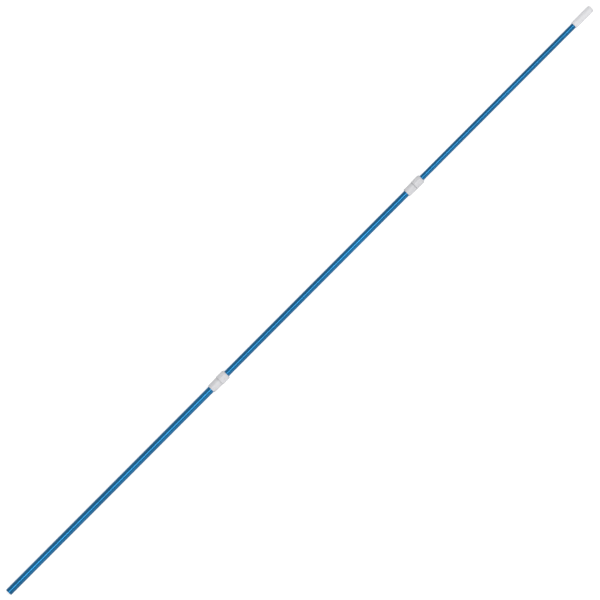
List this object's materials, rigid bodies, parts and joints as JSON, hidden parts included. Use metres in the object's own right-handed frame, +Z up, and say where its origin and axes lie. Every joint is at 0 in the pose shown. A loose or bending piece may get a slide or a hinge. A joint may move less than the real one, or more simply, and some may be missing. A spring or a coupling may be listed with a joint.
{
  "type": "telescopic pole",
  "caption": "Straight telescopic tube pole with external twist locks, an open tool end and a closed hand grip, made to carry a boat hook head, brush or net.",
  "frame": {"origin": "on the surface that the pole lies on, under the middle of its length", "axes": "+X along the pole from its open tool end towards its grip, +Z up"},
  "size_m": [3.539, 0.0454, 0.0454],
  "materials": {
    "blue_anodised_aluminium": "smooth blue anodised, satin sheen",
    "white_moulded_plastic": "moulded white plastic, fine satin texture",
    "white_grip_vinyl": "dipped white vinyl, soft satin",
    "natural_acetal": "natural acetal, turned or moulded",
    "dark_rubber": "dull dark rubber",
    "stainless_steel": "plain stainless steel"
  },
  "bodies": {
    "outer_section": {"outer_tube": "blue_anodised_aluminium", "lock_1_body": "white_moulded_plastic", "lock_1_seal_ring": "dark_rubber", "lock_1_pin_left": "stainless_steel", "lock_1_pin_right": "stainless_steel"},
    "lock_1_wedge": {"lock_1_collet": "natural_acetal", "lock_1_washer": "natural_acetal"},
    "lock_1_nut": {"lock_1_nut": "white_moulded_plastic"},
    "middle_guide": {"middle_guide_bush": "natural_acetal"},
    "middle_section": {"middle_tube": "blue_anodised_aluminium", "lock_2_body": "white_moulded_plastic", "lock_2_seal_ring": "dark_rubber", "lock_2_pin_left": "stainless_steel", "lock_2_pin_right": "stainless_steel"},
    "lock_2_wedge": {"lock_2_collet": "natural_acetal", "lock_2_washer": "natural_acetal"},
    "lock_2_nut": {"lock_2_nut": "white_moulded_plastic"},
    "inner_guide": {"inner_guide_bush": "natural_acetal"},
    "inner_section": {"inner_tube": "blue_anodised_aluminium", "end_plug": "natural_acetal", "hand_grip": "white_grip_vinyl"}
  },
  "joints": [
    {"name": "lock_1_travel", "type": "slide", "parent": "outer_section", "child": "lock_1_wedge", "axis": [1, 0, 0], "range_m": [0, 0.002]},
    {"name": "lock_1_twist", "type": "hinge", "parent": "lock_1_wedge", "child": "lock_1_nut", "pos_m": [-0.4665, 0, 0.02271], "axis": [1, 0, 0], "range_deg": [0, 120]},
    {"name": "middle_slide", "type": "slide", "parent": "outer_section", "child": "middle_guide", "axis": [1, 0, 0], "range_m": [-1.09, 0]},
    {"name": "middle_turn", "type": "hinge", "parent": "middle_guide", "child": "middle_section", "pos_m": [-0.5835, 0, 0.02271], "axis": [1, 0, 0], "continuous": true},
    {"name": "lock_2_travel", "type": "slide", "parent": "middle_section", "child": "lock_2_wedge", "axis": [1, 0, 0], "range_m": [0, 0.002]},
    {"name": "lock_2_twist", "type": "hinge", "parent": "lock_2_wedge", "child": "lock_2_nut", "pos_m": [0.717, 0, 0.02271], "axis": [1, 0, 0], "range_deg": [0, 120]},
    {"name": "inner_slide", "type": "slide", "parent": "middle_section", "child": "inner_guide", "axis": [1, 0, 0], "range_m": [-0.921, 0]},
    {"name": "inner_turn", "type": "hinge", "parent": "inner_guide", "child": "inner_section", "pos_m": [0.604, 0, 0.02271], "axis": [1, 0, 0], "continuous": true}
  ],
  "couplings": [
    {"joint": "lock_1_travel", "follows": "lock_1_twist", "m_per_rad": 0.00095493},
    {"joint": "lock_2_travel", "follows": "lock_2_twist", "m_per_rad": 0.00095493}
  ]
}
